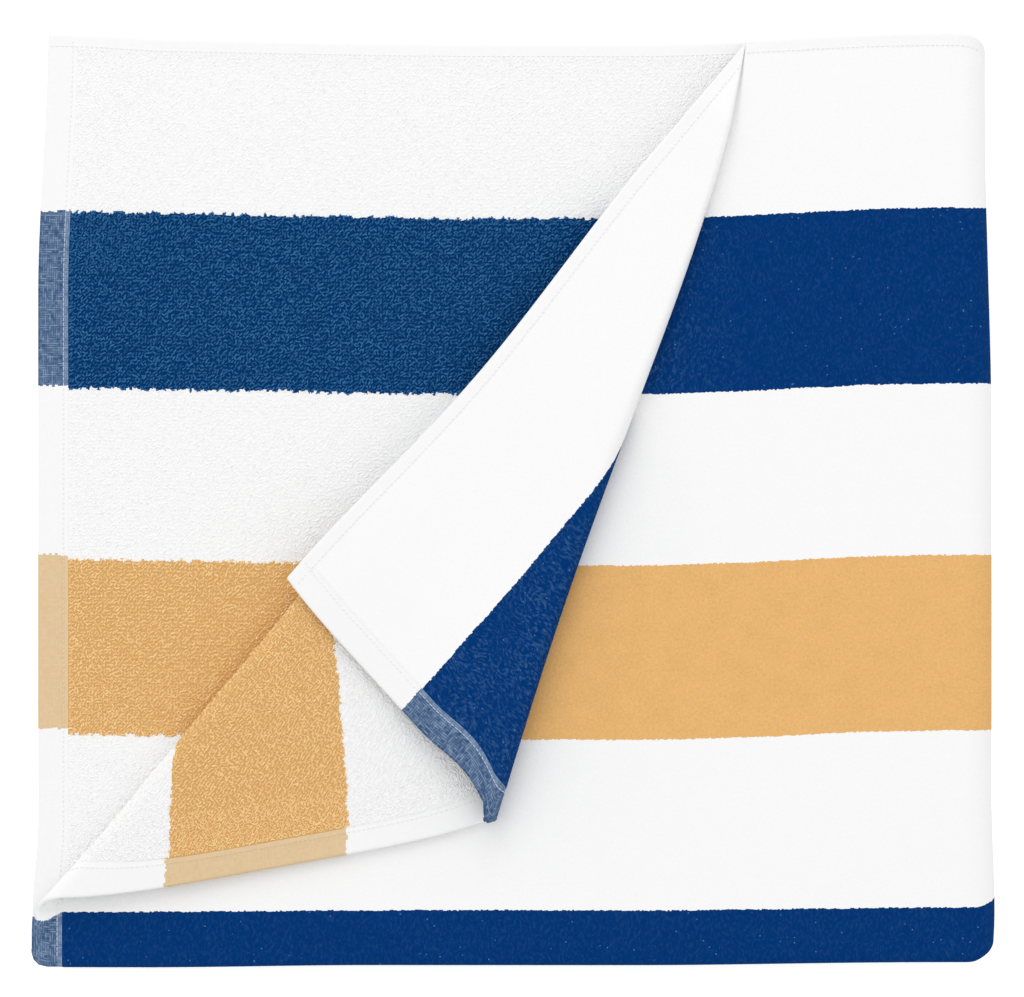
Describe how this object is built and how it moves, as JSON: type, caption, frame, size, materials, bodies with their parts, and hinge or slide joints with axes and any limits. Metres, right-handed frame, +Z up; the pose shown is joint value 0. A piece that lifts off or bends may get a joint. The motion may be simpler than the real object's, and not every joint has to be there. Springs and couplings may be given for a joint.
{
  "type": "bath towel",
  "caption": "Striped cotton beach and bath towel, terry on one face and velour on the other, folded into a flat square with one corner of its top layer turned back twice.",
  "frame": {"origin": "middle of the folded towel's box, on the surface that it rests on", "axes": "+Z up, out of the surface. +X towards the fold that the two crosswise folds share. +Y towards the open side edges, so the lengthwise fold is at -Y and the end hems are at -X."},
  "size_m": [0.388, 0.3756, 0.0379],
  "materials": {
    "terry_velour": "terry loops on one face, sheared velour on the other, in navy, white and gold stripes"
  },
  "bodies": {
    "root": {"towel": "terry_velour"}
  },
  "joints": []
}
